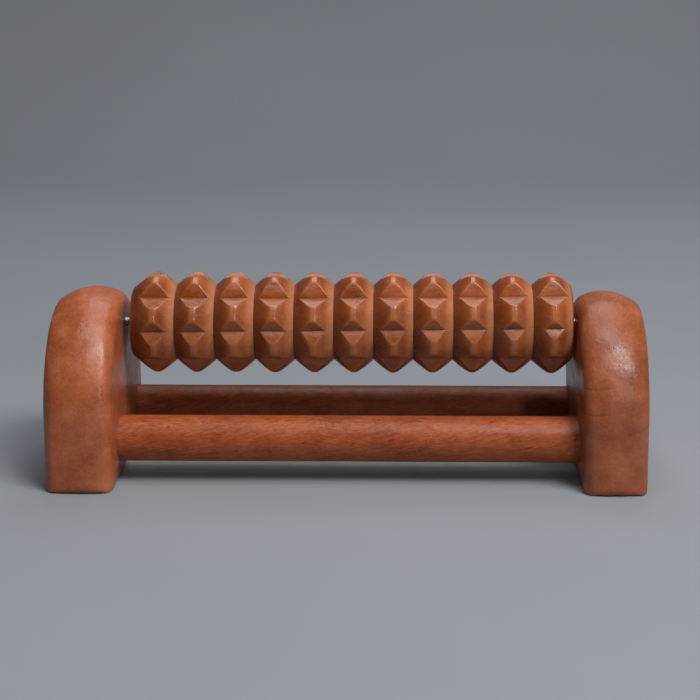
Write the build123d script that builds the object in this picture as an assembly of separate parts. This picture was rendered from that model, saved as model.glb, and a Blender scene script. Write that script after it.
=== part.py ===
"""Foot massage roller: a notched wooden roller between two arched end plates joined by two bars.

Millimetres. +X runs along the roller, +Y to the back, +Z up. The origin is the middle of the
footprint on the floor. One STEP file per piece goes to parts/.
"""
import math
import os

from build123d import *

# roller: a row of V-shaped beads, cut lengthwise by V-shaped notches
BEAD_COUNT = 11
BEAD_PITCH = 17.4
BEAD_ROW_OFFSET = 1.0
CREST_RADIUS = 22.4
VALLEY_RADIUS = 16.7
CREST_LAND = 2.4
ROLLER_LENGTH = 193.6
ROLLER_END_BEVEL = 0.8
NOTCH_COUNT = 8
NOTCH_FLOOR_RADIUS = 19.1
NOTCH_HALF_ANGLE = 65.5
NOTCH_TURN = 2.7
AXLE_HEIGHT = 64.4
ROLLER_SLIDE = 1.15

# arched end plates
PLATE_GAP = 197.5
PLATE_THICKNESS = 29.5
PLATE_DEPTH = 96.0
PLATE_HEIGHT = 79.0
INNER_EDGE_RADIUS = 4.5
OUTER_EDGE_RADIUS = 9.0
BASE_EDGE_RADIUS = 2.0

# cross bars, housed in blind mortises
BAR_DIAMETER = 20.0
BAR_SPACING = 49.0
BAR_HEIGHT = 18.2
MORTISE_DEPTH = 12.0

# steel axle pins, pressed into the plates and running in bushes in the roller
PIN_DIAMETER = 4.0
PIN_IN_PLATE = 16.0
PIN_IN_ROLLER = 17.0
PIN_CHAMFER = 0.5
BUSH_OUTER_DIAMETER = 7.0
BUSH_LENGTH = 18.0
BUSH_CLEARANCE = 0.05
BUSH_RECESS = 0.5
PIN_END_ROOM = 3.0
PIN_END_CLEARANCE = 0.5

# screws into the bar ends, hidden under wooden plugs
SCREW_DIAMETER = 4.0
SCREW_LENGTH = 40.0
SCREW_HEAD_DIAMETER = 8.0
SCREW_HEAD_HEIGHT = 2.6
SCREW_HEAD_RIM = 0.4
SCREW_HOLE_DIAMETER = 4.5
DRIVE_WIDTH = 4.2
DRIVE_SLOT = 1.1
DRIVE_DEPTH = 1.4
PLUG_DIAMETER = 10.0
PLUG_LENGTH = 5.0
PLUG_CHAMFER = 0.4

# how far cutters overshoot, and how close two places must be to count as one
OVERSHOOT = 1.0
TOUCH = 0.01

INNER_FACE = PLATE_GAP / 2
OUTER_FACE = INNER_FACE + PLATE_THICKNESS
ROLLER_HALF = ROLLER_LENGTH / 2
FLANK_SLOPE = (CREST_RADIUS - VALLEY_RADIUS) / (BEAD_PITCH - CREST_LAND) * 2
BAR_END = INNER_FACE + MORTISE_DEPTH
SCREW_SEAT = OUTER_FACE - PLUG_LENGTH - SCREW_HEAD_HEIGHT
SCREW_TIP = SCREW_SEAT - SCREW_LENGTH
SIDES = {"left": -1, "right": 1}
ROWS = {"front": -1, "rear": 1}


def rod(radius, x_from, x_to, y=0.0, z=0.0):
    """A solid cylinder along X between two X positions."""
    middle = ((x_from + x_to) / 2, y, z)
    return Pos(*middle) * Rot(0, 90, 0) * Cylinder(radius, abs(x_to - x_from))


def cone_rod(radius_from, radius_to, x_from, x_to, y=0.0, z=0.0):
    """A solid cone along X: radius_from at x_from, radius_to at x_to."""
    outline = Polyline((x_from, 0), (x_from, radius_from), (x_to, radius_to), (x_to, 0), close=True)
    return Pos(0, y, z) * revolve(make_face(outline), Axis.X)


def end_points(side):
    """The outline from a roller end's axis to its rim: the last flank carried on, and a bevel."""
    last_crest = side * (BEAD_COUNT - 1) / 2 * BEAD_PITCH + BEAD_ROW_OFFSET
    flank = abs(side * ROLLER_HALF - last_crest) - CREST_LAND / 2
    rim_radius = CREST_RADIUS - FLANK_SLOPE * (flank - ROLLER_END_BEVEL)
    end = side * ROLLER_HALF
    face_rim_radius = rim_radius - FLANK_SLOPE * ROLLER_END_BEVEL - ROLLER_END_BEVEL
    return [(end, 0), (end, face_rim_radius), (end - side * ROLLER_END_BEVEL, rim_radius)]


def bead_outline():
    """Half of the roller's long section: radius over length, one V bead per pitch."""
    half_land = CREST_LAND / 2
    points = end_points(-1)
    for index in range(BEAD_COUNT):
        centre = (index - (BEAD_COUNT - 1) / 2) * BEAD_PITCH + BEAD_ROW_OFFSET
        points.append((centre - half_land, CREST_RADIUS))
        points.append((centre + half_land, CREST_RADIUS))
        if index < BEAD_COUNT - 1:
            points.append((centre + BEAD_PITCH / 2, VALLEY_RADIUS))
    points += end_points(1)[::-1]
    return make_face(Polyline(*points, close=True))


def notch(angle):
    """A V-shaped cutter along the whole roller, at one angle round it from straight up."""
    reach = CREST_RADIUS - NOTCH_FLOOR_RADIUS + OVERSHOOT
    half_width = reach * math.tan(math.radians(NOTCH_HALF_ANGLE))
    tip = NOTCH_FLOOR_RADIUS
    outline = Polyline((0, tip), (half_width, tip + reach), (-half_width, tip + reach), close=True)
    cutter = extrude(Plane.YZ * make_face(outline), ROLLER_HALF + OVERSHOOT, both=True)
    return Rot(angle, 0, 0) * cutter


def massage_roller():
    """The turned and notched roller, bored at both ends for its bushes.

    The foremost notch rests NOTCH_TURN degrees above the axle's height.
    """
    body = revolve(bead_outline(), Axis.X)
    for index in range(NOTCH_COUNT):
        body -= notch(90 - NOTCH_TURN + index * 360 / NOTCH_COUNT)
    for side in SIDES.values():
        end = side * ROLLER_HALF
        bush_end = end - side * (BUSH_RECESS + BUSH_LENGTH)
        body -= rod(BUSH_OUTER_DIAMETER / 2, end + side * OVERSHOOT, bush_end)
        body -= rod(PIN_DIAMETER / 2 + PIN_END_CLEARANCE, bush_end, bush_end - side * PIN_END_ROOM)
    return Pos(ROLLER_SLIDE, 0, AXLE_HEIGHT) * body


def roller_bush(side):
    """A brass bush pressed into one end of the roller."""
    start = side * (ROLLER_HALF - BUSH_RECESS)
    end = start - side * BUSH_LENGTH
    tube = rod(BUSH_OUTER_DIAMETER / 2, start, end)
    tube -= rod(PIN_DIAMETER / 2 + BUSH_CLEARANCE, start + side * OVERSHOOT, end - side * OVERSHOOT)
    return Pos(ROLLER_SLIDE, 0, AXLE_HEIGHT) * tube


def axle_pin(side):
    """A steel pin pressed into one end plate, which the roller turns on."""
    inner_end = ROLLER_SLIDE + side * (ROLLER_HALF - PIN_IN_ROLLER)
    pin = rod(PIN_DIAMETER / 2, side * (INNER_FACE + PIN_IN_PLATE), inner_end)
    pin = chamfer(pin.edges().filter_by(GeomType.CIRCLE), PIN_CHAMFER)
    return Pos(0, 0, AXLE_HEIGHT) * pin


def plate_side_outline():
    """The plate seen from the side: a tombstone, straight sides under a half circle."""
    half = PLATE_DEPTH / 2
    spring = PLATE_HEIGHT - half
    sides = Polyline((half, spring), (half, 0), (-half, 0), (-half, spring))
    arch = ThreePointArc((-half, spring), (0, PLATE_HEIGHT), (half, spring))
    return make_face([sides, arch])


def lies_in_base(edge):
    """True for an edge of the face the plate stands on."""
    return edge.bounding_box().max.Z < TOUCH


def face_rim(plate, x):
    """The upright and arched edges round the plate's face at one X position."""
    rim = [edge for edge in plate.edges() if abs(edge.center().X - x) < TOUCH]
    holes = [edge for edge in rim if edge.geom_type == GeomType.CIRCLE and edge.is_closed]
    return [edge for edge in rim if edge not in holes and not lies_in_base(edge)]


def drilled(plate):
    """The plate with its two bar mortises, pin hole, screw holes and plug holes."""
    plate -= rod(PIN_DIAMETER / 2, INNER_FACE - OVERSHOOT, INNER_FACE + PIN_IN_PLATE, z=AXLE_HEIGHT)
    for row in ROWS.values():
        place = {"y": row * BAR_SPACING / 2, "z": BAR_HEIGHT}
        plate -= rod(BAR_DIAMETER / 2, INNER_FACE - OVERSHOOT, BAR_END, **place)
        plate -= rod(SCREW_HOLE_DIAMETER / 2, BAR_END - OVERSHOOT, SCREW_SEAT + OVERSHOOT, **place)
        plate -= rod(PLUG_DIAMETER / 2, SCREW_SEAT, OUTER_FACE + OVERSHOOT, **place)
    return plate


def end_plate(side):
    """One end plate, drilled and then rounded: tightly inside, generously outside."""
    blank = extrude(Plane.YZ.offset(INNER_FACE) * plate_side_outline(), PLATE_THICKNESS)
    plate = drilled(blank)
    plate = fillet(face_rim(plate, INNER_FACE), INNER_EDGE_RADIUS)
    plate = fillet(face_rim(plate, OUTER_FACE), OUTER_EDGE_RADIUS)
    plate = fillet([edge for edge in plate.edges() if lies_in_base(edge)], BASE_EDGE_RADIUS)
    return plate if side > 0 else mirror(plate, about=Plane.YZ)


def cross_bar(row):
    """A round bar whose ends fill the mortises, with a pilot hole in each end."""
    place = {"y": row * BAR_SPACING / 2, "z": BAR_HEIGHT}
    bar = rod(BAR_DIAMETER / 2, -BAR_END, BAR_END, **place)
    for side in SIDES.values():
        bar -= rod(SCREW_DIAMETER / 2, side * (BAR_END + OVERSHOOT), side * SCREW_TIP, **place)
    return bar


def bar_screw(side, row):
    """A countersunk cross-head screw from the plug hole into the bar's end."""
    head_top = SCREW_SEAT + SCREW_HEAD_HEIGHT
    rim = head_top - SCREW_HEAD_RIM
    screw = rod(SCREW_DIAMETER / 2, SCREW_TIP, SCREW_SEAT + TOUCH)
    screw += cone_rod(SCREW_DIAMETER / 2, SCREW_HEAD_DIAMETER / 2, SCREW_SEAT, rim)
    screw += rod(SCREW_HEAD_DIAMETER / 2, rim, head_top)
    middle = head_top - DRIVE_DEPTH / 2
    slot = Box(DRIVE_DEPTH, DRIVE_WIDTH, DRIVE_SLOT)
    screw -= Pos(middle, 0, 0) * slot
    screw -= Pos(middle, 0, 0) * Rot(90, 0, 0) * slot
    screw = Pos(0, row * BAR_SPACING / 2, BAR_HEIGHT) * screw
    return screw if side > 0 else mirror(screw, about=Plane.YZ)


def screw_plug(side, row):
    """A wooden plug over the screw, flush with the plate's outer face."""
    inner = OUTER_FACE - PLUG_LENGTH
    plug = rod(PLUG_DIAMETER / 2, inner, OUTER_FACE, row * BAR_SPACING / 2, BAR_HEIGHT)
    ring = plug.edges().filter_by_position(Axis.X, inner - TOUCH, inner + TOUCH)
    plug = chamfer(ring, PLUG_CHAMFER)
    return plug if side > 0 else mirror(plug, about=Plane.YZ)


def pieces():
    """Every piece of the roller, by name."""
    made = {"massage_roller": massage_roller()}
    for side_name, side in SIDES.items():
        made[side_name + "_end_plate"] = end_plate(side)
        made[side_name + "_axle_pin"] = axle_pin(side)
        made[side_name + "_roller_bush"] = roller_bush(side)
    for row_name, row in ROWS.items():
        made[row_name + "_cross_bar"] = cross_bar(row)
        for side_name, side in SIDES.items():
            made[side_name + "_" + row_name + "_bar_screw"] = bar_screw(side, row)
            made[side_name + "_" + row_name + "_screw_plug"] = screw_plug(side, row)
    return made


os.makedirs("parts", exist_ok=True)
for name, piece in pieces().items():
    piece.label = name
    export_step(piece, "parts/" + name + ".step")
    print(name, round(piece.volume), "mm3")
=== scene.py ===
"""Foot massage roller: the visual model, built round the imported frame. Metres, +X along the roller."""
import math
import random
from collections import namedtuple

import bpy
import numpy as np
from mathutils import Matrix, Vector, noise


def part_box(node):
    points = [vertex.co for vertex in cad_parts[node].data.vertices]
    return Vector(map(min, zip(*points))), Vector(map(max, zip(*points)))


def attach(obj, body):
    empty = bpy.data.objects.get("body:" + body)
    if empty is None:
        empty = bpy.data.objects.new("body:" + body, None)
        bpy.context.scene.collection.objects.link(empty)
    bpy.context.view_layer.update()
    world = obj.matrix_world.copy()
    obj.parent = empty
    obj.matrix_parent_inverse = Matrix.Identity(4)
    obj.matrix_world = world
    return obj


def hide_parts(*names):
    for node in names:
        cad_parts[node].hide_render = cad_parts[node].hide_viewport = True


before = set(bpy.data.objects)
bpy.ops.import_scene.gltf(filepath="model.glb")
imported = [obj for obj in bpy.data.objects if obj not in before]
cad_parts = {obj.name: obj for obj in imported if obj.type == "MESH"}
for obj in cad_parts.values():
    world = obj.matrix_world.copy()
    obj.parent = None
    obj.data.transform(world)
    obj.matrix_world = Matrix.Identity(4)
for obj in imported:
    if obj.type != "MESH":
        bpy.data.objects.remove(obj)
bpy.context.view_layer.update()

MM = 0.001
SIDES = {"left": -1, "right": 1}
ROWS = ("front", "rear")

# ---------------------------------------------------------------- places, read from the frame
plate_low, plate_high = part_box("right_end_plate")
INNER_FACE, OUTER_FACE = plate_low[0], plate_high[0]
PLATE_THICKNESS = OUTER_FACE - INNER_FACE
PLATE_HALF_DEPTH = plate_high[1]
PLATE_HEIGHT = plate_high[2]
roller_low, roller_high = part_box("massage_roller")
ROLLER_MIDDLE = (roller_low[0] + roller_high[0]) / 2
ROLLER_HALF = (roller_high[0] - roller_low[0]) / 2
AXLE_HEIGHT = (roller_low[2] + roller_high[2]) / 2
bush_low, bush_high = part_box("right_roller_bush")
BUSH_RADIUS = (bush_high[2] - bush_low[2]) / 2
BUSH_DEPTH = roller_high[0] - bush_low[0]
pin_low, pin_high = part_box("right_axle_pin")
PIN_RADIUS = (pin_high[2] - pin_low[2]) / 2
PIN_OUTER_END = pin_high[0]
bar_low, bar_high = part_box("front_cross_bar")
BAR_RADIUS = (bar_high[2] - bar_low[2]) / 2
BAR_HEIGHT = (bar_high[2] + bar_low[2]) / 2
BAR_END = bar_high[0]
screw_low, screw_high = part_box("right_front_bar_screw")
plug_low, plug_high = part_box("right_front_screw_plug")
PLUG_RADIUS = (plug_high[2] - plug_low[2]) / 2
SCREW_HEAD_HEIGHT = 2.6 * MM
SCREW_SEAT = screw_high[0] - SCREW_HEAD_HEIGHT
SCREW_HOLE_RADIUS = 2.25 * MM
SCREW_RADIUS = 2.0 * MM
HOLE_ROOM = 0.12 * MM


def bar_depth(row):
    """How far back a cross bar lies."""
    low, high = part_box(row + "_cross_bar")
    return (low[1] + high[1]) / 2


# ---------------------------------------------------------------- mesh helpers
def new_piece(name, vertices, faces, smooth_angle=35):
    """A mesh object with smooth shading that breaks at edges sharper than smooth_angle."""
    mesh = bpy.data.meshes.new(name)
    mesh.from_pydata([tuple(v) for v in vertices], [], faces)
    mesh.update()
    piece = bpy.data.objects.new(name, mesh)
    bpy.context.scene.collection.objects.link(piece)
    shade(piece, smooth_angle)
    return piece


def shade(piece, smooth_angle):
    """Smooth shading, kept sharp where faces meet at more than smooth_angle."""
    mesh = piece.data
    mesh.polygons.foreach_set("use_smooth", [True] * len(mesh.polygons))
    mesh.set_sharp_from_angle(angle=math.radians(smooth_angle))


def tube_faces(rings, around):
    """Quads between closed rings of points, ring after ring."""
    faces = []
    for ring in range(rings - 1):
        for i in range(around):
            j = (i + 1) % around
            a, b = ring * around, (ring + 1) * around
            faces.append((a + i, a + j, b + j, b + i))
    return faces


def closed_tube(name, rings, smooth_angle=35):
    """A closed piece from rings of points; the first and last ring shrink to a centre point."""
    rings = np.asarray(rings)
    count, around = rings.shape[:2]
    vertices = list(rings.reshape(-1, 3))
    faces = tube_faces(count, around)
    first, last = len(vertices), len(vertices) + 1
    vertices += [rings[0].mean(axis=0), rings[-1].mean(axis=0)]
    base = (count - 1) * around
    for i in range(around):
        j = (i + 1) % around
        faces.append((first, j, i))
        faces.append((last, base + i, base + j))
    return new_piece(name, vertices, faces, smooth_angle)


def stepped_cutter(steps, y, z, around=72):
    """A closed turned shape along X, used only to cut holes. Each step is (x, radius)."""
    turns = np.linspace(0, 2 * math.pi, around, endpoint=False)
    rings = [[(x, y + r * math.cos(t), z + r * math.sin(t)) for t in turns] for x, r in sorted_steps(steps)]
    return closed_tube("cutter", rings)


def sorted_steps(steps):
    """The steps from low to high x."""
    return steps if steps[0][0] < steps[-1][0] else steps[::-1]


def cut_out(piece, cutters, smooth_angle=35):
    """Cuts turned shapes that don't touch each other out of a piece, all at once."""
    joined = bpy.data.meshes.new("cutters")
    vertices, faces = [], []
    for cutter in cutters:
        first = len(vertices)
        vertices += [v.co[:] for v in cutter.data.vertices]
        faces += [[first + i for i in face.vertices] for face in cutter.data.polygons]
        bpy.data.objects.remove(cutter)
    joined.from_pydata(vertices, [], faces)
    tool = bpy.data.objects.new("cutters", joined)
    bpy.context.scene.collection.objects.link(tool)
    modifier = piece.modifiers.new("holes", "BOOLEAN")
    modifier.operation = "DIFFERENCE"
    modifier.solver = "EXACT"
    modifier.object = tool
    graph = bpy.context.evaluated_depsgraph_get()
    cut = bpy.data.meshes.new_from_object(piece.evaluated_get(graph))
    piece.modifiers.clear()
    piece.data = cut
    bpy.data.objects.remove(tool)
    piece.data.name = piece.name
    shade(piece, smooth_angle)


def place(piece, body, material, slot, *nodes):
    """Gives a piece its material and body, and hides the CAD nodes it stands for."""
    piece.data.materials.clear()
    piece.data.materials.append(material)
    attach(piece, body)
    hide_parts(*nodes)


# ---------------------------------------------------------------- wood material
class Nodes:
    """Short calls for building a node tree."""

    def __init__(self, name):
        self.material = bpy.data.materials.new(name)
        self.material.use_nodes = True
        self.tree = self.material.node_tree
        self.tree.nodes.clear()

    def add(self, kind, settings=None, **inputs):
        """A node with its settings. Inputs are named, or i and their number, and are values or sockets."""
        node = self.tree.nodes.new(kind)
        for key, value in (settings or {}).items():
            setattr(node, key, value)
        for key, value in inputs.items():
            numbered = key[0] == "i" and key[1:].isdigit()
            socket = node.inputs[int(key[1:])] if numbered else node.inputs[key]
            if isinstance(value, bpy.types.NodeSocket):
                self.tree.links.new(value, socket)
            else:
                socket.default_value = value
        return node

    def math(self, operation, a, b=0.0):
        """A math node's result."""
        return self.add("ShaderNodeMath", {"operation": operation}, i0=a, i1=b).outputs[0]

    def plus(self, first, *others):
        """The sum of two or more values."""
        for value in others:
            first = self.math("ADD", first, value)
        return first

    def minus(self, a, b):
        """The difference of two values."""
        return self.math("SUBTRACT", a, b)

    def times(self, a, b):
        """The product of two values."""
        return self.math("MULTIPLY", a, b)

    def remap(self, value, low, high, to_low=0.0, to_high=1.0):
        """A value moved from one range to another, held inside it."""
        inputs = {"i0": value, "i1": low, "i2": high, "i3": to_low, "i4": to_high}
        return self.add("ShaderNodeMapRange", {"clamp": True}, **inputs).outputs[0]

    def blend(self, factor, a, b):
        """Two colours mixed."""
        return self.add("ShaderNodeMix", {"data_type": "RGBA"}, i0=factor, i6=a, i7=b).outputs[2]

    def vector(self, x, y, z):
        """A vector from three values."""
        return self.add("ShaderNodeCombineXYZ", None, i0=x, i1=y, i2=z).outputs[0]

    def noise(self, vector, scale, detail=3.0, rough=0.5):
        """A noise value."""
        inputs = {"Vector": vector, "Scale": scale, "Detail": detail, "Roughness": rough}
        return self.add("ShaderNodeTexNoise", None, **inputs).outputs[0]

    def stretch(self, vector, shift, scale):
        """Coordinates moved and scaled."""
        return self.add("ShaderNodeMapping", None, Vector=vector, Location=shift, Scale=scale).outputs[0]

    def place_in_mm(self, shift):
        """The place on the object in millimetres, moved by a shift."""
        return self.stretch(self.add("ShaderNodeTexCoord").outputs["Object"], shift, (1 / MM,) * 3)

    def bump(self, strength, distance, height, **normal):
        """A bump's normal, laid over another one where that is given."""
        inputs = {"Strength": strength, "Distance": distance, "Height": height, **normal}
        return self.add("ShaderNodeBump", None, **inputs).outputs[0]

    def finish(self, settings, **inputs):
        """The material, its surface made from the shader's fixed settings and its inputs."""
        shader = self.add("ShaderNodeBsdfPrincipled", None, **inputs)
        for key, value in settings.items():
            shader.inputs[key].default_value = value
        self.add("ShaderNodeOutputMaterial", None, Surface=shader.outputs[0])
        return self.material


# each noise's shift, its frequency per mm along the fibres and twice across them, detail and roughness
WOOD_NOISES = {
    "slow_drift": ((0, 0, 0), (0.016, 0.03, 0.03), 2.0, 0.5),
    "quick_drift": ((7, 3, 1), (0.09, 0.10, 0.10), 2.0, 0.5),
    "fibres": ((0, 0, 0), (0.13, 1.1, 1.5), 3.0, 0.62),
    "threads": ((5, 9, 2), (0.34, 2.6, 3.6), 2.0, 0.6),
    "pore_field": ((1, 4, 8), (0.34, 1.5, 3.4), 1.0, 0.4),
    "pore_zone": ((4, 4, 1), (0.06, 0.09, 0.09), 2.0, 0.5),
    "mottle": ((3, 2, 9), (0.07, 0.10, 0.10), 4.0, 0.55),
    "clouds": ((6, 1, 5), (0.022, 0.035, 0.035), 2.0, 0.5),
    "flecks": ((8, 6, 4), (0.7, 1.1, 1.1), 3.0, 0.65),
    "waves": ((2, 7, 3), (0.10, 0.14, 0.14), 2.0, 0.5),
    "ripples": ((9, 5, 1), (0.30, 0.50, 0.40), 2.0, 0.5),
}
SLOW_DRIFT_MM, QUICK_DRIFT_MM, MEAN_DRIFT_MM = 16.0, 2.2, 9.0
TONE_STOPS = {"dark": 0.26, "mid": 0.45, "light": 0.64}
PORE_DARKNESS, PORE_TINT = 0.6, (0.4, 0.35, 0.35)
# the ranges of noise over which pores, their zones and the growth rings come in
PORE_RANGE, PORE_ZONE_RANGE, RINGS_RANGE = (0.61, 0.69), (0.46, 0.62), (0.36, 0.50)
SPOT_CORE, SPOT_STRENGTH = 0.4, 0.3
# where a ring's dark line comes in and ends, as shares of the distance between rings
LINE_START, LINE_END = (0.93, 0.975), (1.0, 0.985)
RING_WANDER, LATE_WOOD = 0.35, 0.10
HAND_BUMP, FIBRE_BUMP = 0.5 * MM, 0.1 * MM
# how much each noise adds to the tone, the roughness and the relief
TONE_THREADS, TONE_FLECKS = 0.6, 0.22
ROUGH_MOTTLE, ROUGH_FLECKS, ROUGH_PORES = 0.13, 0.06, 0.2
RELIEF_FIBRES, RELIEF_THREADS, RELIEF_PORES, RELIEF_FLECKS = 1.2, 0.7, 0.8, 0.35
RIPPLES = 0.12

# the pith's place across the fibres, the distance between rings, their strength, and the nearest and
# furthest ring that show, in millimetres
GrowthRings = namedtuple("GrowthRings", "pith gap strength nearest furthest")
# a place across the fibres where open pores crowd together, and its radius, in millimetres
PoreSpot = namedtuple("PoreSpot", "place radius")


def wood_noise(n, place_in_wood, kind):
    """One of the wood's noises."""
    shift, frequency, detail, rough = WOOD_NOISES[kind]
    return n.noise(n.stretch(place_in_wood, shift, frequency), 1.0, detail, rough)


def open_pores(n, straight, bent, across, spot):
    """Short dark pores, in zones."""
    field, zone = wood_noise(n, bent, "pore_field"), wood_noise(n, straight, "pore_zone")
    if spot:
        squares = [n.math("POWER", n.minus(across[i], spot.place[i]), 2.0) for i in (0, 1)]
        from_spot = n.math("POWER", n.plus(*squares), 0.5)
        crowding = n.remap(from_spot, spot.radius * SPOT_CORE, spot.radius, SPOT_STRENGTH, 0.0)
        zone = n.plus(zone, crowding)
    return n.times(n.remap(field, *PORE_RANGE), n.remap(zone, *PORE_ZONE_RANGE))


def growth_rings(n, across, drift, clouds, rings):
    """The dark line and the deepening late wood of growth rings, which come and go."""
    from_pith = n.vector(0.0, n.minus(across[0], rings.pith[0]), n.minus(across[1], rings.pith[1]))
    distance = n.add("ShaderNodeVectorMath", {"operation": "LENGTH"}, i0=from_pith).outputs["Value"]
    distance = n.plus(distance, n.times(n.minus(drift, MEAN_DRIFT_MM), RING_WANDER))
    phase = n.math("FRACT", n.math("DIVIDE", distance, rings.gap))
    line = n.times(n.remap(phase, *LINE_START), n.remap(phase, *LINE_END))
    begun = n.remap(distance, rings.nearest - 1.0, rings.nearest)
    shown = n.times(begun, n.remap(distance, rings.furthest + 1.0, rings.furthest))
    shown = n.times(shown, n.remap(clouds, *RINGS_RANGE))
    late_wood = n.times(n.math("POWER", phase, 3.0), shown)
    return n.times(n.times(line, shown), rings.strength), n.times(late_wood, rings.strength * LATE_WOOD)


def tone_colours(n, tone, colours):
    """The wood's colour ramp."""
    ramp = n.add("ShaderNodeValToRGB", None, i0=tone)
    stops = ramp.color_ramp.elements
    dark, mid, light = colours
    stops[0].position, stops[0].color = TONE_STOPS["dark"], (*dark, 1)
    stops[1].position, stops[1].color = TONE_STOPS["light"], (*light, 1)
    middle = stops.new(TONE_STOPS["mid"])
    middle.color = (*mid, 1)
    return ramp.outputs[0]


def wood(name, shift, rings, colours, along, grain, skew, gloss, spot=None):
    """Stained wood: fibres, pores, faint growth rings and the uneven sheen of a hand-rubbed finish.

    along is the fibres' axis, 0 for X and 1 for Y. grain is how strongly the fibres show, skew how steeply
    they climb, and gloss the least roughness.
    """
    dark = colours[0]
    n = Nodes(name)
    split = n.add("ShaderNodeSeparateXYZ", None, i0=n.place_in_mm(shift)).outputs
    across = [split[axis] for axis in range(3) if axis != along]
    straight = n.vector(split[along], *across)
    # the fibres wander slowly, so that lines aren't straight
    slow = n.times(wood_noise(n, straight, "slow_drift"), SLOW_DRIFT_MM)
    drift = n.plus(slow, n.times(wood_noise(n, straight, "quick_drift"), QUICK_DRIFT_MM))
    climb = n.minus(n.plus(across[1], drift), n.times(split[along], skew))
    bent = n.vector(split[along], n.plus(across[0], drift), climb)
    fibres, threads = [wood_noise(n, bent, kind) for kind in ("fibres", "threads")]
    mottle, clouds, flecks = [wood_noise(n, straight, kind) for kind in ("mottle", "clouds", "flecks")]
    pores = open_pores(n, straight, bent, across, spot)
    ring_line, late_wood = growth_rings(n, across, drift, clouds, rings)

    # the stronger the fibres show, the less the stain is mottled
    tone = n.plus(n.times(mottle, 0.62 - 0.5 * grain), n.times(clouds, 0.30 - 0.2 * grain))
    tone = n.plus(tone, 0.35 * grain - 0.018, n.times(n.minus(fibres, 0.5), grain))
    tone = n.plus(tone, n.times(n.minus(threads, 0.5), grain * TONE_THREADS))
    tone = n.plus(tone, n.times(n.minus(flecks, 0.5), TONE_FLECKS))
    colour = n.blend(ring_line, tone_colours(n, n.minus(tone, late_wood), colours), (*dark, 1))
    pore_colour = [part * tint for part, tint in zip(dark, PORE_TINT)]
    colour = n.blend(n.times(pores, PORE_DARKNESS), colour, (*pore_colour, 1))

    rough = n.plus(gloss, n.times(n.remap(mottle, 0.38, 0.62), ROUGH_MOTTLE))
    rough = n.plus(rough, n.times(n.remap(flecks, 0.3, 0.7), ROUGH_FLECKS), n.times(pores, ROUGH_PORES))
    # under the fibres' own relief lie the waves that sanding by hand leaves
    waves = n.plus(wood_noise(n, straight, "waves"), n.times(wood_noise(n, straight, "ripples"), RIPPLES))
    relief = n.plus(n.times(fibres, RELIEF_FIBRES * grain), n.times(threads, RELIEF_THREADS * grain))
    relief = n.plus(n.minus(relief, n.times(pores, RELIEF_PORES)), n.times(flecks, RELIEF_FLECKS))
    return n, colour, rough, n.bump(0.6, FIBRE_BUMP, relief, Normal=n.bump(1.0, HAND_BUMP, waves))


PLATE_COLOURS = ((0.255, 0.058, 0.019), (0.400, 0.106, 0.039), (0.540, 0.172, 0.078))
BAR_COLOURS = ((0.180, 0.032, 0.007), (0.335, 0.072, 0.018), (0.475, 0.124, 0.038))
ROLLER_COLOURS = ((0.178, 0.037, 0.007), (0.328, 0.081, 0.019), (0.455, 0.136, 0.042))
# paler rubbed wood at the roller's edges, which also serves as a painted highlight along them
RUBBED_EDGE_AND_HIGHLIGHT = (0.50, 0.19, 0.085, 1)
# painted shade for the valleys between beads, the notches' floor lines and the roller's ends
VALLEY_SHADE = (0.05, 0.011, 0.004, 1)
# painted shade for each bead's left-facing side, and a painted highlight for its right-facing side near the
# valley
PAINTED_SHADE_FLANK = (0.10, 0.020, 0.005, 1)
PAINTED_HIGHLIGHT_FLANK = (0.62, 0.27, 0.14, 1)


def finish_wood(n, colour, rough, normal, gleam, coat=0.0, coat_rough=0.2):
    """Joins a wood's sockets to its shader."""
    settings = {"Specular IOR Level": gleam, "Coat Weight": coat, "Coat Roughness": coat_rough}
    return n.finish(settings, **{"Base Color": colour, "Roughness": rough, "Normal": normal})


def plate_wood(name, shift, rings, brightness, spot=None):
    """The end plates' wood, its fibres along Y: satin, mottled and fine."""
    colours = [[part * brightness for part in colour] for colour in PLATE_COLOURS]
    made = wood(name, shift, rings, colours, along=1, grain=0.26, skew=0.0, gloss=0.265, spot=spot)
    return finish_wood(*made, gleam=0.5)


def bar_wood(name, shift, rings):
    """The cross bars' wood: its fibres show more, and climb a little along the bar."""
    made = wood(name, shift, rings, BAR_COLOURS, along=0, grain=0.56, skew=0.20, gloss=0.33)
    return finish_wood(*made, gleam=0.32)


def roller_wood(name, shift, rings):
    """The roller's wood: more orange and glossier. Its edges are rubbed pale, partly as a painted highlight,
    and its valleys have painted shade.

    Each bead's left-facing side has painted shade, and its right-facing side a painted highlight near the
    valley.
    """
    made = wood(name, shift, rings, ROLLER_COLOURS, along=0, grain=0.30, skew=0.05, gloss=0.21)
    n, colour, rough, normal = made
    wear_and_highlight, hollow_shade, flank_shading = [
        n.add("ShaderNodeAttribute", {"attribute_name": layer}).outputs["Fac"] for layer in ROLLER_LAYERS
    ]
    # rubbed edges and crest lands: paler worn wood, partly a painted highlight
    colour = n.blend(n.times(wear_and_highlight, 0.40), colour, RUBBED_EDGE_AND_HIGHLIGHT)
    # painted shade in the valleys, along the notches' floor lines, on the ends and in the bores
    colour = n.blend(n.times(hollow_shade, 0.55), colour, VALLEY_SHADE)
    # painted shade on each bead's left-facing side, and a painted highlight on its right-facing side near
    # the valley
    colour = n.blend(n.remap(flank_shading, 0.0, -1.0, 0.0, 0.62), colour, PAINTED_SHADE_FLANK)
    colour = n.blend(n.remap(flank_shading, 0.45, 1.0, 0.0, 0.50), colour, PAINTED_HIGHLIGHT_FLANK)
    rough = n.minus(rough, n.times(wear_and_highlight, 0.11))
    return finish_wood(n, colour, rough, normal, gleam=0.45, coat=0.10, coat_rough=0.18)


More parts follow.
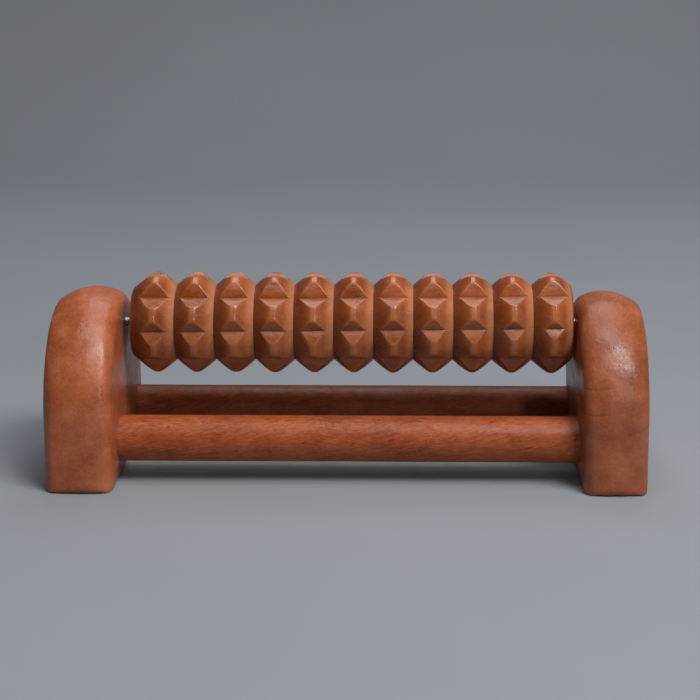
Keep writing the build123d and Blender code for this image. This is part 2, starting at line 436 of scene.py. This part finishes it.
def metal(name, colour, rough):
    """Drawn or turned metal with fine rings round X."""
    n = Nodes(name)
    place_in_mm = n.place_in_mm((0, 0, 0))
    rings = n.noise(n.stretch(place_in_mm, (0, 0, 0), (9.0, 0.25, 0.25)), 1.0, 3.0, 0.6)
    stain = n.noise(n.stretch(place_in_mm, (2, 5, 1), (0.6, 0.6, 0.6)), 1.0, 3.0, 0.5)
    stained = n.blend(n.remap(stain, 0.35, 0.7), (*[part * 0.78 for part in colour], 1), (*colour, 1))
    roughness = n.remap(rings, 0.3, 0.7, rough * 0.7, rough * 1.4)
    inputs = {"Base Color": stained, "Roughness": roughness, "Normal": n.bump(0.25, 0.03 * MM, rings)}
    return n.finish({"Metallic": 1.0}, **inputs)


# ---------------------------------------------------------------- end plates
BASE_CORNER = 3.0 * MM
OUTLINE_STEPS = 260
INNER_ROUND = 4.2 * MM
SIDE_ROUND = 5.0 * MM
LEAST_CORNER = 0.4 * MM
BASE_ROUND = 2.0 * MM
# towards the top the outer edge becomes a shoulder that reaches this far across and down
SHOULDER_ACROSS = 20.0 * MM
SHOULDER_DOWN = 2.4 * MM
SHOULDER_START = 0.52
SHOULDER_POWER = 2.3
CROWN_DROP = 4.0 * MM
CROWN_SUMMIT = 0.45
SIDE_CROWN = 2.2 * MM
PLUG_STANDS = 0.15 * MM
CAP_CENTRE_HEIGHT = PLATE_HEIGHT * 0.45
# the faces' rings: their share of the outline, and how much of the inner face's fall is left there
CAPS = ((0.9, 0.82), (0.78, 0.42), (0.64, 0.08), (0.48, 0.0), (0.3, 0.0), (0.12, 0.0))
INNER_FALL = 1.2 * MM
# how the two plates, made by hand, differ
PLATE_STRETCH = {"left": 1.007, "right": 0.985}
OUTER_GROWTH = {"left": 1.0 * MM, "right": 0.0}
INNER_LEAN = {"left": 0.0, "right": 0.9 * MM}
LEAN_TOP = PLATE_HEIGHT * 0.75
ROUND_STEPS, FLAT_STEPS, SHOULDER_STEPS = 9, 16, 17
HAND_PUSH = 0.16 * MM
HAND_WAVES_PER_METRE, HAND_SHIFT = 38, (4.3, 1.7, 0.4)
CUT_OVERSHOOT_IN, CUT_OVERSHOOT_OUT = 1 * MM, 3 * MM


def outline_stations():
    """Stations round the arched outline, evenly spaced from the base's middle: (part, share along it)."""
    half, corner = PLATE_HALF_DEPTH, BASE_CORNER
    base, quarter, upright = half - corner, math.pi / 2 * corner, PLATE_HEIGHT - half - corner
    runs = [base, quarter, upright, math.pi * half, upright, quarter, base]
    parts = ["base_rear", "corner_rear", "side_rear", "arch", "side_front", "corner_front", "base_front"]
    ends = np.cumsum(runs)
    stations = []
    for step in range(OUTLINE_STEPS):
        along = (step + 0.5) / OUTLINE_STEPS * ends[-1]
        run = int(np.searchsorted(ends, along))
        stations.append((parts[run], (along - ends[run] + runs[run]) / runs[run]))
    return stations


def outline_point(part, share, from_side, from_base):
    """A point (y, z) on the outline, drawn in by from_side at sides and arch and by from_base below."""
    half = PLATE_HALF_DEPTH - from_side
    spring = PLATE_HEIGHT - PLATE_HALF_DEPTH
    corner = max(BASE_CORNER - max(from_side, from_base), LEAST_CORNER)
    if part == "arch":
        turn = math.pi * share
        return half * math.cos(turn), spring + half * math.sin(turn)
    in_front = part.endswith("front")
    if in_front:
        share = 1 - share
    if part.startswith("base"):
        y, z = (half - corner) * share, from_base
    elif part.startswith("corner"):
        turn = math.pi / 2 * share
        y = half - corner + corner * math.sin(turn)
        z = from_base + corner - corner * math.cos(turn)
    else:
        low = from_base + corner
        y, z = half, low + (spring - low) * share
    return (-y if in_front else y), z


def smooth_step(value, low, high):
    """0 below low, 1 above high, and a smooth turn between."""
    t = min(max((value - low) / (high - low), 0.0), 1.0)
    return t * t * (3 - 2 * t)


def edge_section(across, down, power, crown):
    """The plate's edge, cut across: [(x from the inner face, depth under the outline)] from inside out."""
    width = PLATE_THICKNESS - PLUG_STANDS
    section = []
    for turn in np.linspace(0, math.pi / 2, ROUND_STEPS):
        section.append((INNER_ROUND * (1 - math.cos(turn)), INNER_ROUND * (1 - math.sin(turn))))
    for share in np.linspace(0, 1, FLAT_STEPS)[1:-1]:
        section.append((INNER_ROUND + (width - across - INNER_ROUND) * share, 0.0))
    for turn in np.linspace(0, math.pi / 2, SHOULDER_STEPS):
        x = width - across + across * math.sin(turn) ** (2 / power)
        section.append((x, down * (1 - math.cos(turn) ** (2 / power))))
    summit = width * CROWN_SUMMIT
    spans = [summit if x < summit else width - summit for x, _ in section]
    return [(x, depth + crown * ((x - summit) / span) ** 2) for (x, depth), span in zip(section, spans)]


def base_inset(x):
    """How far the rounded base edge stands off the floor, at x from the inner face."""
    short = BASE_ROUND - min(x, PLATE_THICKNESS - PLUG_STANDS - x, BASE_ROUND)
    return BASE_ROUND - math.sqrt(max(BASE_ROUND ** 2 - short ** 2, 0.0))


def side_section(height):
    """The edge's section at a height.

    Low down both edges are rounded about evenly. Towards the top the outer edge grows into a wide
    shoulder and the whole edge is crowned more.
    """
    rise = smooth_step(height / PLATE_HEIGHT, SHOULDER_START, 1.0)
    across = SIDE_ROUND + (SHOULDER_ACROSS - SIDE_ROUND) * rise
    down = SIDE_ROUND + (SHOULDER_DOWN - SIDE_ROUND) * rise
    power = 2.0 + (SHOULDER_POWER - 2.0) * rise
    crown = SIDE_CROWN + (CROWN_DROP - SIDE_CROWN) * rise
    return edge_section(across, down, power, crown)


def end_plate(side_name):
    """One end plate: the outline swept with its changing section, capped with shrinking rings."""
    side = SIDES[side_name]
    centre = np.array([0.0, CAP_CENTRE_HEIGHT])
    columns = []
    for part, share in outline_stations():
        height = outline_point(part, share, 0, 0)[1]
        section = side_section(height)
        columns.append([(x, *outline_point(part, share, inset, base_inset(x))) for x, inset in section])
    rings = list(np.transpose(np.array(columns), (1, 0, 2)))
    inner_caps, outer_caps = [], []
    for share, _ in CAPS:
        for ring, caps in ((rings[0], inner_caps), (rings[-1], outer_caps)):
            cap = ring.copy()
            cap[:, 1:] = centre + (ring[:, 1:] - centre) * share
            caps.append(cap)
    rings = np.array(inner_caps[::-1] + rings + outer_caps)
    rings[:, :, 2] *= PLATE_STRETCH[side_name]
    low = np.clip(1 - rings[:, :, 2] / LEAN_TOP, 0, 1)
    rings[:, :, 0] += INNER_LEAN[side_name] * low * (1 - rings[:, :, 0] / PLATE_THICKNESS)
    # the inner face falls away towards its rim
    fall = np.ones((len(rings), 1))
    fall[:len(CAPS), 0] = [left for _, left in CAPS[::-1]]
    change = OUTER_GROWTH[side_name] - INNER_FALL
    rings[:, :, 0] = INNER_FALL * fall + rings[:, :, 0] * (1 + change / PLATE_THICKNESS)
    hand_worked(rings, side)
    rings[:, :, 0] = side * (INNER_FACE + rings[:, :, 0])
    plate = closed_tube(side_name + "_end_plate_wood", rings if side > 0 else rings[::-1])
    bore_plate(plate, side)
    return plate


def hand_worked(rings, side):
    """Moves the edge band in and out a little, as sanding by hand leaves it."""
    shift = Vector((side * HAND_SHIFT[0], *HAND_SHIFT[1:]))
    for ring in rings:
        for point in ring:
            inside = min(point[0], PLATE_THICKNESS - point[0]) / INNER_ROUND
            amount = min(max(inside, 0.0), 1.0)
            if amount > 0 and point[2] > BASE_CORNER:
                where = Vector(point) * HAND_WAVES_PER_METRE + shift
                push = noise.noise(where) * HAND_PUSH * amount
                point[1] -= math.copysign(push, point[1])


def bore_plate(plate, side):
    """The pin's hole, and behind each other the bars' mortises and the screws' and plugs' holes."""
    mouth, out = side * (INNER_FACE - CUT_OVERSHOOT_IN), side * (OUTER_FACE + CUT_OVERSHOOT_OUT)
    cutters = [stepped_cutter([(mouth, PIN_RADIUS), (side * PIN_OUTER_END, PIN_RADIUS)], 0, AXLE_HEIGHT)]
    for row in ROWS:
        mortise = BAR_RADIUS + HOLE_ROOM
        plug = PLUG_RADIUS + HOLE_ROOM
        steps = [(mouth, mortise), (side * BAR_END, mortise), (side * BAR_END, SCREW_HOLE_RADIUS)]
        steps += [(side * SCREW_SEAT, SCREW_HOLE_RADIUS), (side * SCREW_SEAT, plug), (out, plug)]
        cutters.append(stepped_cutter(steps, bar_depth(row), BAR_HEIGHT))
    cut_out(plate, cutters)


# ---------------------------------------------------------------- cross bars and plugs
BAR_BEVEL = 0.8 * MM
BAR_HOLLOWS = 0.12 * MM
BAR_AROUND, BAR_RINGS, PLUG_AROUND = 96, 150, 64
# how quickly a bar's unevenness changes along it and round it, and from one row to the other
WAVES_ALONG, WAVES_ROUND, WAVES_PER_ROW = 22, 0.9, 90
# the plug's profile: shares of its length and of its radius
PLUG_PROFILE = (
    (0.0, 0.93), (0.06, 1.0), (0.86, 1.0), (0.93, 0.985), (0.97, 0.95), (0.985, 0.88), (0.99, 0.7),
    (0.995, 0.45), (1.0, 0.2),
)


def cross_bar(row):
    """A round bar, very slightly uneven, with bevelled ends inside the mortises."""
    y = bar_depth(row)
    turns = np.linspace(0, 2 * math.pi, BAR_AROUND, endpoint=False)
    stations = [(-BAR_END, BAR_RADIUS - BAR_BEVEL)]
    for x in np.linspace(-BAR_END + BAR_BEVEL, BAR_END - BAR_BEVEL, BAR_RINGS):
        stations.append((x, BAR_RADIUS))
    stations.append((BAR_END, BAR_RADIUS - BAR_BEVEL))
    rings = []
    for x, radius in stations:
        ring = []
        for turn in turns:
            across = math.cos(turn) * WAVES_ROUND + y * WAVES_PER_ROW
            where = Vector((x * WAVES_ALONG, across, math.sin(turn) * WAVES_ROUND))
            out = radius - abs(noise.noise(where)) * BAR_HOLLOWS
            ring.append((x, y + out * math.cos(turn), BAR_HEIGHT + out * math.sin(turn)))
        rings.append(ring)
    bar = closed_tube(row + "_cross_bar_wood", rings, smooth_angle=50)
    cutters = []
    for side in (-1, 1):
        steps = [(side * (BAR_END + MM), SCREW_RADIUS), (side * screw_low[0], SCREW_RADIUS)]
        cutters.append(stepped_cutter(steps, y, BAR_HEIGHT))
    cut_out(bar, cutters, smooth_angle=50)
    return bar


def screw_plug(side_name, row):
    """A wooden plug: softly domed, with a worn rim."""
    side = SIDES[side_name]
    y = bar_depth(row)
    inner, outer = plug_low[0], plug_high[0] + OUTER_GROWTH[side_name]
    length = outer - inner
    turns = np.linspace(0, 2 * math.pi, PLUG_AROUND, endpoint=False)
    rings = []
    for along, share in PLUG_PROFILE:
        x, radius = side * (inner + length * along), PLUG_RADIUS * share
        rings.append([(x, y + radius * math.cos(t), BAR_HEIGHT + radius * math.sin(t)) for t in turns])
    name = side_name + "_" + row + "_plug_wood"
    return closed_tube(name, rings if side > 0 else rings[::-1], smooth_angle=60)


# ---------------------------------------------------------------- massage roller
# angles are in radians
BEADS = 11
PITCH = 17.4 * MM
BEAD_ROW_OFFSET = 1.0 * MM
CREST_RADIUS = 22.4 * MM
VALLEY_RADIUS = 16.6 * MM
CREST_LAND = 0.5 * MM
FLANK_BULGE = 0.30 * MM
NOTCHES = 8
NOTCH_FLOOR = 19.0 * MM
NOTCH_HALF_ANGLE = math.radians(65.5)
FACE_BULGE = 0.32 * MM
FACE_REACH = 0.27
REACH_ROUNDS = 12
FIRST_NOTCH = math.radians(2.2)
TWIST = math.radians(3.3)
EDGE_SOFTNESS = 0.28 * MM
EDGE_STEP = 0.011
LEAST_NOTCH = 0.036
END_BEVEL, BEVEL_DROP = 0.8 * MM, 1.44 * MM
END_FACE_SHARES = (0.85, 0.6, 0.35)
BORE_BEVEL = 0.4 * MM
BORE_BEHIND = 3.0 * MM
# how the beads and notches, turned and cut by hand, differ: in mm, and in degrees for angles
CREST_STRAY, FLOOR_STRAY, LEAN_STRAY, ROW_STRAY = 0.2, 0.22, 2.0, 0.7
CREST_ROUNDINGS = (0.6, 0.75, 1.2, 1.1, 0.75, 0.65, 0.7, 0.65, 0.6, 0.6, 0.65)
LOWER_ROW_RISE, LOWER_ROW_END_RISE, UPPER_ROW_DROP = 0.32, 0.9, 0.55
UPPER_ROW_LEANS = (7, 5, 0, 0, 1, 2, 3, 4, 4, 4, 3)
UPPER_ROW_STRAYS = (1.0, -1.2, 2.6)
# where rings lie from crest to valley: mm from the crest, then shares of the rest
CREST_STEPS = (0.0, 0.3, 0.52, 0.72, 0.94, 1.22, 1.6, 2.1)
FLANK_STEPS = (0.12, 0.24, 0.36, 0.48, 0.6, 0.7, 0.8, 0.88, 0.95, 0.985, 1.0)
# where points lie round a ring: shares of a notch's face, steps on either side of its edge, shares between
FACE_SHARES = (0.22, 0.44, 0.64, 0.82)
EDGE_SIDES = (-2, -1, -0.4, 0.4, 1, 2)
EDGE_CLEAR = 2.6
BETWEEN_SHARES = (0.25, 0.5, 0.75)
# how wide the rubbed edges with their painted highlight, the painted shade lines, and the turn from a bead's
# left-facing to its right-facing painted shading are
RUB_AND_HIGHLIGHT_WIDTH, SHADE_LINE_WIDTH, CREST_BAND, FLANK_TURN = 0.35 * MM, 0.45 * MM, 0.9 * MM, 0.8 * MM
RUB_AND_HIGHLIGHT_START = VALLEY_RADIUS + 1.5 * MM
# how strong the painted shade is along the notches' floor lines, and on the ends and in the bores
FLOOR_LINE_SHADE, END_SHADE = 0.6, 0.3
# the roller's point layers: rubbed edges with a painted highlight, painted shade, and the bead side for
# painted shading
ROLLER_LAYERS = ("wear_and_highlight", "hollow_shade", "flank_shading")


def soft_min(a, b, width):
    """The smaller of two heights, rounded over where they cross."""
    h = np.clip(0.5 + 0.5 * (b - a) / width, 0, 1)
    return b + (a - b) * h - width * h * (1 - h)


def bead_radius(offset, crest, rounding):
    """The turned bead's radius at a distance from its crest: a narrow land and faintly bulging flanks."""
    half = PITCH / 2
    slope = (crest - VALLEY_RADIUS) / (math.hypot(half - CREST_LAND, rounding) - rounding)
    share = min(abs(offset) / half, 1.0)
    bulge = FLANK_BULGE * 4 * share * (1 - share) * smooth_step(share, 0.0, 0.3)
    down = max(abs(offset) - CREST_LAND, 0.0)
    return crest - slope * (math.hypot(down, rounding) - rounding) + bulge


def notch_radius(turn, floor, half_angle):
    """The radius that one face of a V notch leaves at an angle from its floor line."""
    slant = 1 / np.tan(half_angle)
    return floor / (np.cos(turn) - np.abs(np.sin(turn)) * slant) + face_bulge(turn)


def face_bulge(turn):
    """How much a notch's face swells between its floor line and its upper edge."""
    share = np.clip(np.abs(turn) / FACE_REACH, 0, 1)
    return FACE_BULGE * 4 * share * (1 - share)


def notch_reach(radius, floor, half_angle):
    """The angle from a notch's floor line to where its face comes out of a surface of that radius."""
    slant = 1 / math.tan(half_angle)
    reach = 0.0
    for _ in range(REACH_ROUNDS):
        flat = radius - float(face_bulge(max(reach, 0.0)))
        reach = math.acos(min(floor / flat / math.hypot(1, slant), 1)) - math.atan(slant)
    return reach


def ring_offsets():
    """Distances from a bead's crest to its valley, closest together at the crest."""
    steps = [step * MM for step in CREST_STEPS]
    run = PITCH / 2 - steps[-1]
    return steps + [steps[-1] + run * step for step in FLANK_STEPS]


def hand_cut(rng):
    """How each row of notches strays along the roller, as a parabola: they were cut by eye."""
    strays = [[math.radians(rng.uniform(-ROW_STRAY, ROW_STRAY)) for _ in range(3)] for _ in range(NOTCHES)]
    strays[0] = [0.0, 0.0, 0.0]
    strays[1] = [math.radians(angle) for angle in UPPER_ROW_STRAYS]
    return strays


def notch_lines(x, strays):
    """The angle of every notch's floor line at one place along the roller, from the front upwards."""
    along = x / ROLLER_HALF
    sector = 2 * math.pi / NOTCHES
    lines = []
    for index, (shift, lean, bow) in enumerate(strays):
        stray = shift + lean * along + bow * along * along
        lines.append(index * sector + FIRST_NOTCH + TWIST * along + stray)
    return lines


def sector_angles(start, end, reach_start, reach_end):
    """Angles from one notch's floor to the next one's, closest together at the notches' edges."""
    clear, outermost = EDGE_CLEAR * EDGE_STEP, EDGE_SIDES[-1] * EDGE_STEP
    angles = [start] + [start + min(reach_start * share, reach_start - clear) for share in FACE_SHARES]
    angles += [start + reach_start + EDGE_STEP * k for k in EDGE_SIDES]
    low, high = start + reach_start + outermost, end - reach_end - outermost
    angles += [low + (high - low) * share for share in BETWEEN_SHARES]
    angles += [end - reach_end + EDGE_STEP * k for k in EDGE_SIDES]
    return angles + [end - min(reach_end * share, reach_end - clear) for share in FACE_SHARES[::-1]]


class RollerRings:
    """Gathers the roller's rings of points, with how rubbed and highlighted each point is, how much painted
    shade it gets, and which side of its bead it lies on.
    """

    def __init__(self):
        rng = random.Random(11)
        self.crests = [CREST_RADIUS - rng.uniform(0.0, CREST_STRAY) * MM for _ in range(BEADS)]
        self.roundings = [rounding * MM for rounding in CREST_ROUNDINGS]
        self.floors, self.leans = [], []
        for bead in range(BEADS):
            floors = [NOTCH_FLOOR + rng.uniform(-FLOOR_STRAY, FLOOR_STRAY) * MM for _ in range(NOTCHES)]
            floors[0] += (LOWER_ROW_RISE + LOWER_ROW_END_RISE * smooth_step(bead, BEADS - 3, BEADS)) * MM
            floors[1] -= UPPER_ROW_DROP * MM
            leans = [math.radians(rng.uniform(-LEAN_STRAY, LEAN_STRAY)) for _ in range(NOTCHES)]
            leans[1] = math.radians(UPPER_ROW_LEANS[bead])
            self.floors.append(floors)
            self.leans.append(leans)
        self.strays = hand_cut(rng)
        self.rings = []
        self.layers = {layer: [] for layer in ROLLER_LAYERS}

    def add(self, x, angles, radii, wear_and_highlight, hollow_shade, flank_shading=0.0):
        """One ring. Angles run from the front upwards."""
        y, z = -radii * np.cos(angles), radii * np.sin(angles)
        self.rings.append(np.column_stack([np.full(len(angles), ROLLER_MIDDLE + x), y, AXLE_HEIGHT + z]))
        for layer, value in zip(ROLLER_LAYERS, (wear_and_highlight, hollow_shade, flank_shading)):
            self.layers[layer].append(np.broadcast_to(value, len(angles)))

    def angles_at(self, x, bead, turned):
        """The ring's angles, each with the angle from its notch, that notch's floor and its half angle."""
        lines = notch_lines(x, self.strays)
        floors, leans = self.floors[bead], self.leans[bead]
        found = []
        for k in range(NOTCHES):
            following = (k + 1) % NOTCHES
            end = lines[following] + (2 * math.pi if following == 0 else 0)
            upper, lower = NOTCH_HALF_ANGLE - leans[k], NOTCH_HALF_ANGLE + leans[following]
            reach_up = max(notch_reach(turned, floors[k], upper), LEAST_NOTCH)
            reach_down = max(notch_reach(turned, floors[following], lower), LEAST_NOTCH)
            middle = (lines[k] + reach_up + end - reach_down) / 2
            for angle in sector_angles(lines[k], end, reach_up, reach_down):
                if angle <= middle:
                    found.append((angle, angle - lines[k], floors[k], upper))
                else:
                    found.append((angle, end - angle, floors[following], lower))
        return np.array(found).T

    def add_turned(self, x, bead, offset):
        """A ring of the beaded length: the turned bead, lowered by the notches."""
        turned = bead_radius(offset, self.crests[bead], self.roundings[bead])
        angles, away, floors, half_angles = self.angles_at(x, bead, turned)
        cut = notch_radius(away, floors, half_angles)
        radii = soft_min(cut, np.full(len(cut), turned), EDGE_SOFTNESS)
        # the rubbed band along the notches' edges and the crests' lands: paler worn wood, partly a painted
        # highlight
        height = smooth_step(turned, RUB_AND_HIGHLIGHT_START, CREST_RADIUS)
        notch_edge = np.exp(-(((cut - turned) / RUB_AND_HIGHLIGHT_WIDTH) ** 2)) * height
        crest = smooth_step(turned, CREST_RADIUS - CREST_BAND, CREST_RADIUS)
        wear_and_highlight = np.maximum(notch_edge, crest * (cut > turned))
        # painted shade in the valleys between beads and along the notches' floor lines
        at_end = (bead == 0 and offset < 0) or (bead == BEADS - 1 and offset > 0)
        valley = 0.0 if at_end else math.exp(-(((PITCH / 2 - abs(offset)) / SHADE_LINE_WIDTH) ** 2))
        floor_line = np.exp(-((away * NOTCH_FLOOR / SHADE_LINE_WIDTH) ** 2)) * (cut < turned)
        hollow_shade = np.maximum(valley, FLOOR_LINE_SHADE * floor_line)
        # which side of its bead a point lies on: painted shade on the left, painted highlight on the right
        flank_shading = math.copysign(smooth_step(abs(offset), FLANK_TURN, PITCH / 2), offset)
        self.add(x, angles, radii, wear_and_highlight, hollow_shade, flank_shading * (cut > turned))

    def add_end(self, side, rim_radius, angles):
        """One end's rings between the end face's rim and the bore's bottom, added from left to right."""
        end = side * ROLLER_HALF
        steps = []
        for turn in np.linspace(0, math.pi / 2, 6)[1:]:
            x = end - side * END_BEVEL * (1 - math.sin(turn))
            steps.append((x, rim_radius - BEVEL_DROP * (1 - math.cos(turn))))
        face = steps[-1][1]
        steps += [(end, BUSH_RADIUS + (face - BUSH_RADIUS) * share) for share in END_FACE_SHARES]
        steps += [(end, BUSH_RADIUS + BORE_BEVEL), (end - side * BORE_BEVEL, BUSH_RADIUS)]
        steps += [(end - side * BUSH_DEPTH, BUSH_RADIUS), (end - side * BUSH_DEPTH, PIN_RADIUS + BORE_BEVEL)]
        steps += [(end - side * (BUSH_DEPTH + BORE_BEHIND), PIN_RADIUS + BORE_BEVEL)]
        for x, radius in steps[::side]:
            # painted shade over the ends and in the bores
            self.add(x, angles, np.full(len(angles), radius), 0.0, END_SHADE)


def bead_stations():
    """The beaded length's rings in order: (x from the roller's middle, bead, offset from its crest)."""
    reach = ring_offsets()
    stations = []
    for bead in range(BEADS):
        centre = (bead - (BEADS - 1) / 2) * PITCH + BEAD_ROW_OFFSET
        left = [-offset for offset in reach[::-1]]
        right = reach[1:]
        if bead > 0:
            left = left[1:]
        for offset in left + right:
            stations.append((centre + offset, bead, offset))
    rim = ROLLER_HALF - END_BEVEL
    first, last = stations[0], stations[-1]
    ends = []
    for share in (0.66, 0.33, 0.0):
        ends.append((-rim + (first[0] + rim) * share, 0, first[2] - (first[0] + rim) * (1 - share)))
    stations = ends[::-1] + stations
    for share in (0.33, 0.66, 1.0):
        gone = (rim - last[0]) * share
        stations.append((last[0] + gone, BEADS - 1, last[2] + gone))
    return [station for station in stations if abs(station[0]) <= rim + 1e-9]


def massage_roller():
    """The roller: rings whose points follow the notches, closed by its bored ends."""
    made = RollerRings()
    stations = bead_stations()
    first, last = stations[0], stations[-1]
    rims = []
    for x, bead, offset in (first, last):
        rim = bead_radius(offset, made.crests[bead], made.roundings[bead])
        rims.append((rim, made.angles_at(x, bead, rim)[0]))
    made.add_end(-1, *rims[0])
    for station in stations:
        made.add_turned(*station)
    made.add_end(1, *rims[1])
    roller = closed_tube("massage_roller_wood", np.array(made.rings)[:, ::-1], smooth_angle=30)
    for name, values in made.layers.items():
        # the two centre points that close the ends come last
        flat = np.concatenate([np.array(values)[:, ::-1].ravel(), [0.0, 0.0]])
        roller.data.attributes.new(name, "FLOAT", "POINT").data.foreach_set("value", flat)
    return roller


# ---------------------------------------------------------------- the object
LEFT_PLATE_RINGS = GrowthRings(pith=(-60.0, -230.0), gap=21.0, strength=0.12, nearest=240.0, furthest=330.0)
RIGHT_PLATE_RINGS = GrowthRings(pith=(88.0, 98.0), gap=10.5, strength=0.80, nearest=47.0, furthest=76.0)
BAR_GROWTH = GrowthRings(pith=(14.0, -42.0), gap=9.0, strength=0.12, nearest=30.0, furthest=120.0)
ROLLER_GROWTH = GrowthRings(pith=(-26.0, 20.0), gap=8.0, strength=0.10, nearest=10.0, furthest=120.0)
PLUG_GROWTH = GrowthRings(pith=(40.0, 60.0), gap=7.0, strength=0.2, nearest=10.0, furthest=200.0)
LEFT_PLATE_SPOT = PoreSpot(place=(-75.5, 31.0), radius=7.0)


def build():
    """Makes every visible piece."""
    plate_materials = {
        "left": plate_wood("plate_wood_left", (31.0, 14.0, 0.0), LEFT_PLATE_RINGS, 1.03, LEFT_PLATE_SPOT),
        "right": plate_wood("plate_wood_right", (-12.0, 7.0, 0.0), RIGHT_PLATE_RINGS, 0.80),
    }
    bar_material = bar_wood("bar_wood", (3.0, 0.0, 0.0), BAR_GROWTH)
    roller_material = roller_wood("roller_wood", (0.0, 0.0, 5.0), ROLLER_GROWTH)
    plug_material = bar_wood("plug_wood", (50.0, 9.0, 4.0), PLUG_GROWTH)
    for side in SIDES:
        place(end_plate(side), "frame", plate_materials[side], "plate_wood", side + "_end_plate")
    for row in ROWS:
        place(cross_bar(row), "frame", bar_material, "bar_wood", row + "_cross_bar")
        for side in SIDES:
            plug = screw_plug(side, row)
            place(plug, "frame", plug_material, "plug_wood", side + "_" + row + "_screw_plug")
    place(massage_roller(), "roller", roller_material, "roller_wood", "massage_roller")
    metals = {
        "_axle_pin": metal("pin_steel", (0.42, 0.41, 0.39), 0.26),
        "_roller_bush": metal("bush_brass", (0.78, 0.60, 0.32), 0.30),
        "_bar_screw": metal("screw_steel", (0.62, 0.62, 0.58), 0.35),
    }
    for name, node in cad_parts.items():
        for ending, material in metals.items():
            if name.endswith(ending):
                node.data.materials.clear()
                node.data.materials.append(material)


# ---------------------------------------------------------------- stage, light and camera
FLOOR_COLOURS = ((0.262, 0.285, 0.314, 1), (0.274, 0.297, 0.327, 1))
ROOM_COLOUR, ROOM_STRENGTH = (0.60, 0.64, 0.70, 1), 0.03
LIT_HEIGHT = 40 * MM
# name, azimuth, elevation, distance, size, power and colour
LIGHTS = (
    ("key", 42, 53, 1.5, (0.55, 0.55), 14.8, (1.0, 0.97, 0.93)),
    ("high_key", 34, 68, 1.5, (0.6, 0.6), 3.5, (1.0, 0.98, 0.95)),
    ("front", -8, 50, 1.5, (0.2, 0.2), 1.1, (1.0, 0.98, 0.96)),
    ("window", 24, 17, 1.6, (0.10, 0.34), 2.2, (1.0, 0.98, 0.96)),
    ("top", 0, 88, 1.4, (0.6, 0.5), 4.2, (0.97, 0.98, 1.0)),
    ("back", 176, 58, 1.5, (0.8, 0.6), 4.4, (0.95, 0.97, 1.0)),
    ("strip", 74, 24, 1.5, (0.25, 1.2), 0.8, (1.0, 1.0, 1.0)),
)


def floor():
    """A plain pale floor that curves up into a plain backdrop far behind."""
    half_width, front, back, bend, top = 4.0, -3.0, 1.6, 0.8, 3.0
    profile = [(front, 0.0), (back - bend, 0.0)]
    for turn in np.linspace(0, math.pi / 2, 24)[1:]:
        profile.append((back - bend + bend * math.sin(turn), bend * (1 - math.cos(turn))))
    profile.append((back, top))
    vertices = [(x, y, z) for y, z in profile for x in (-half_width, half_width)]
    faces = [(2 * i, 2 * i + 1, 2 * i + 3, 2 * i + 2) for i in range(len(profile) - 1)]
    ground = new_piece("floor", vertices, faces)
    n = Nodes("floor_paper")
    tone = n.noise(n.add("ShaderNodeTexCoord").outputs["Object"], 6.0, 4.0, 0.5)
    colour = n.blend(n.remap(tone, 0.3, 0.7), *FLOOR_COLOURS)
    paper = n.finish({"Roughness": 0.85, "Specular IOR Level": 0.2}, **{"Base Color": colour})
    ground.data.materials.append(paper)


def area_light(name, azimuth, elevation, distance, size, power, colour):
    """A soft box that looks at the object. Azimuth 0 is in front, positive to the right."""
    data = bpy.data.lights.new(name, "AREA")
    data.shape = "RECTANGLE"
    data.size, data.size_y = size
    data.energy = power
    data.color = colour
    light = bpy.data.objects.new(name, data)
    bpy.context.scene.collection.objects.link(light)
    a, e = math.radians(azimuth), math.radians(elevation)
    out = Vector((math.sin(a) * math.cos(e), -math.cos(a) * math.cos(e), math.sin(e)))
    light.location = Vector((0, 0, LIT_HEIGHT)) + out * distance
    light.rotation_euler = (-out).to_track_quat("-Z", "Y").to_euler()


def lighting():
    """A key light in front to the right, weaker ones round it, above and behind, and a dim room."""
    for light in LIGHTS:
        area_light(*light)
    world = bpy.data.worlds.new("room")
    world.use_nodes = True
    background = world.node_tree.nodes["Background"]
    background.inputs[0].default_value = ROOM_COLOUR
    background.inputs[1].default_value = ROOM_STRENGTH
    bpy.context.scene.world = world


CAMERA_AT = (24.0 * MM, -750.8 * MM, 245.3 * MM)
CAMERA_YAW = math.radians(-1.127)
CAMERA_PITCH = math.radians(11.172)
CAMERA_ROLL = math.radians(-0.088)
CAMERA_LENS, CAMERA_SENSOR = 89.46, 36
CAMERA_NEAR, CAMERA_FAR = 0.01, 60
CAMERA_SHIFT = (-0.02857, -0.14286)


def camera():
    """The view from a little above and to the right of the middle."""
    data = bpy.data.cameras.new("camera")
    data.lens = CAMERA_LENS
    data.sensor_width = CAMERA_SENSOR
    data.shift_x, data.shift_y = CAMERA_SHIFT
    data.clip_start, data.clip_end = CAMERA_NEAR, CAMERA_FAR
    eye = bpy.data.objects.new("camera", data)
    bpy.context.scene.collection.objects.link(eye)
    turn = Matrix.Rotation(-CAMERA_YAW, 4, "Z")
    tilt = Matrix.Rotation(math.pi / 2 - CAMERA_PITCH, 4, "X")
    roll = Matrix.Rotation(CAMERA_ROLL, 4, "Z")
    eye.matrix_world = Matrix.Translation(CAMERA_AT) @ turn @ tilt @ roll
    bpy.context.scene.camera = eye


build()
floor()
lighting()
camera()
bpy.context.scene.view_settings.view_transform = "Standard"
